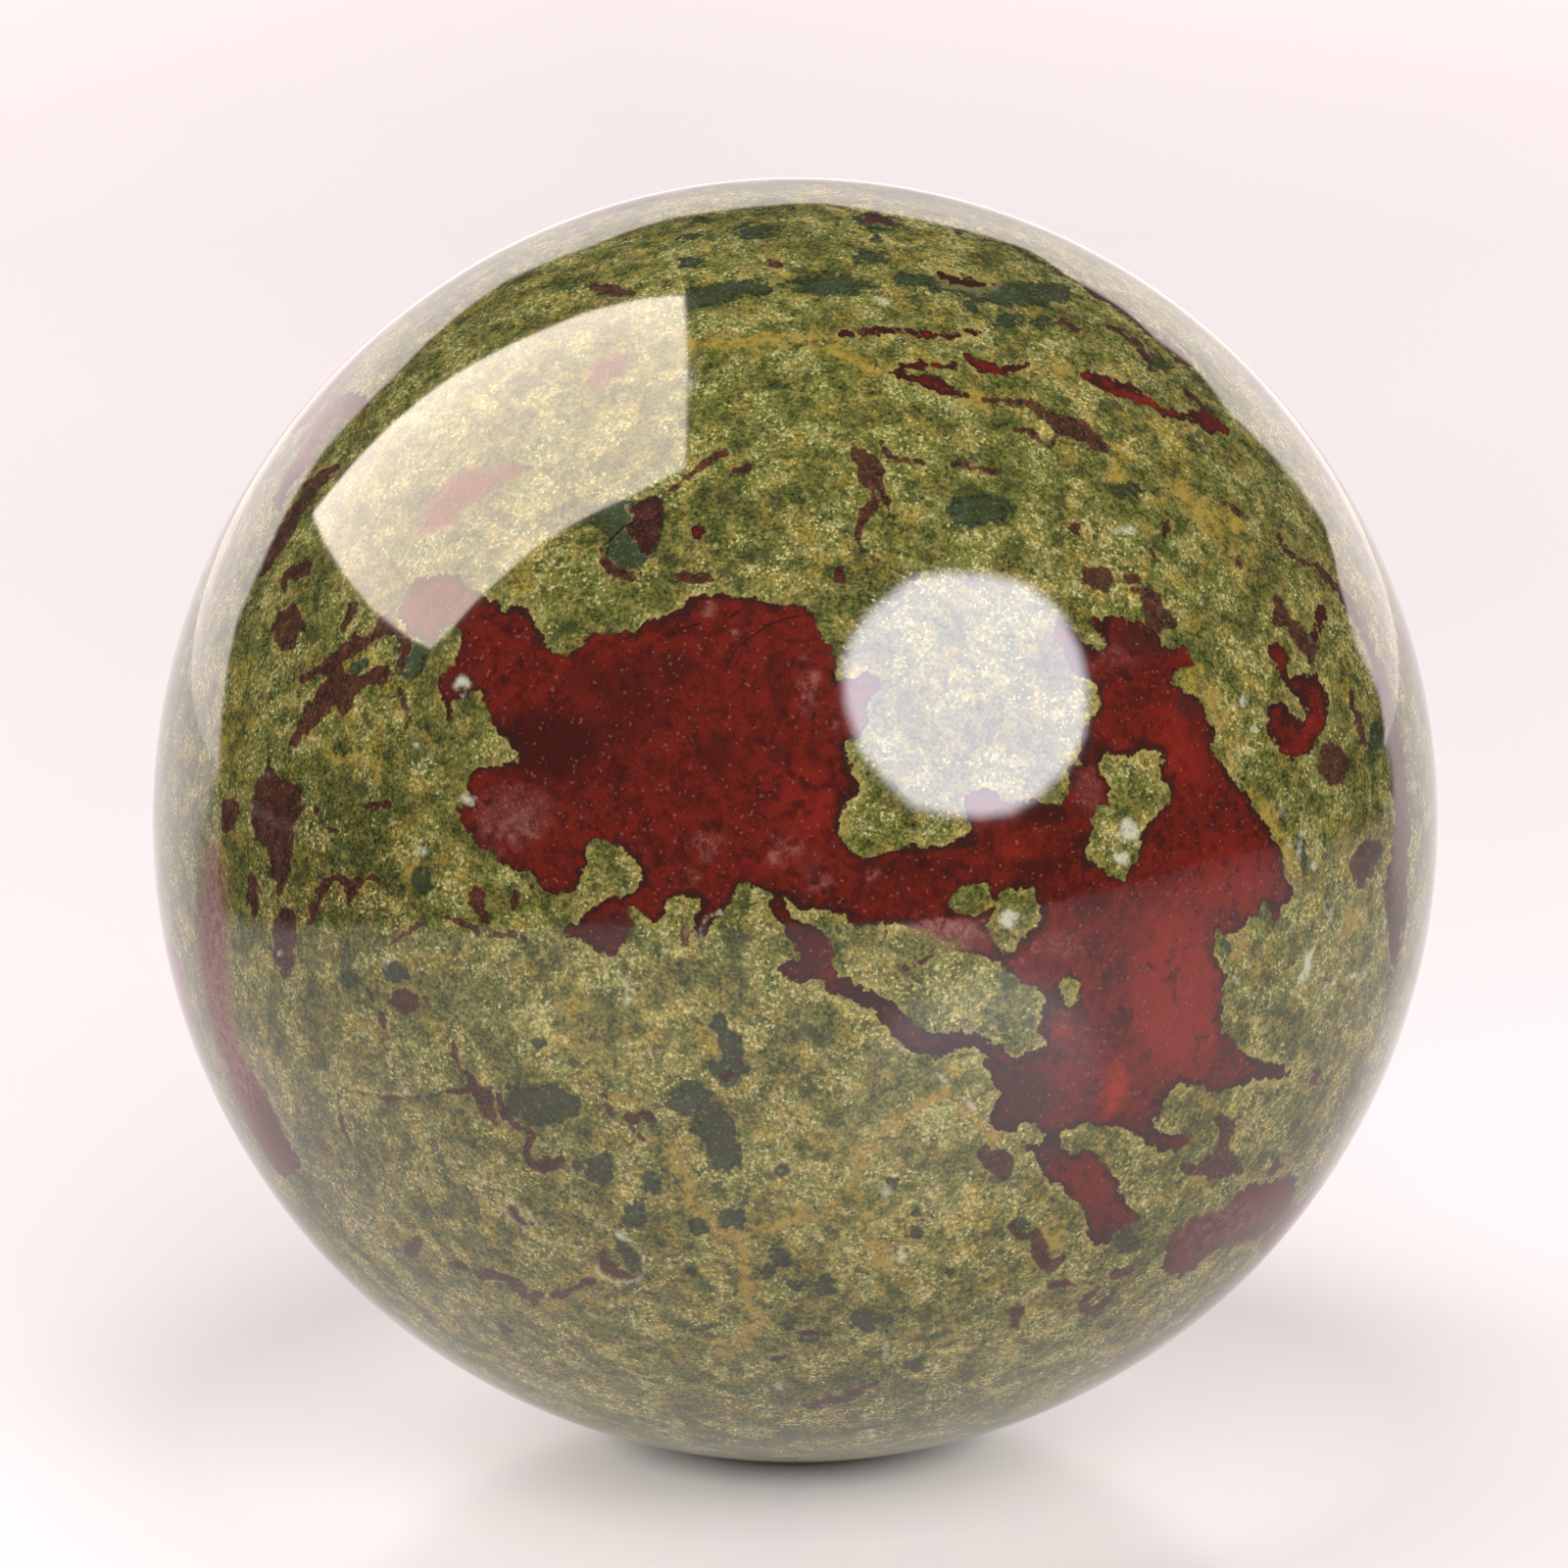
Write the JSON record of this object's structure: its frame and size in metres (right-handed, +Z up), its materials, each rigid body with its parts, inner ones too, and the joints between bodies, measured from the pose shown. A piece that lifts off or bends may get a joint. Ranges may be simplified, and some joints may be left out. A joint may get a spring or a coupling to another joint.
{
  "type": "dragon blood jasper sphere",
  "caption": "Polished ball of olive green stone with red jasper patches and dark veins, resting on a small ground flat.",
  "frame": {"origin": "middle of the small ground flat at the foot of the ball, on the surface it stands on", "axes": "+Z up through the centre of the ball; the pictured side faces -Y, and +X is to the right in the picture"},
  "size_m": [0.06, 0.06, 0.0598],
  "materials": {
    "jasper": "polished"
  },
  "bodies": {
    "root": {"jasper_sphere": "jasper"}
  },
  "joints": []
}
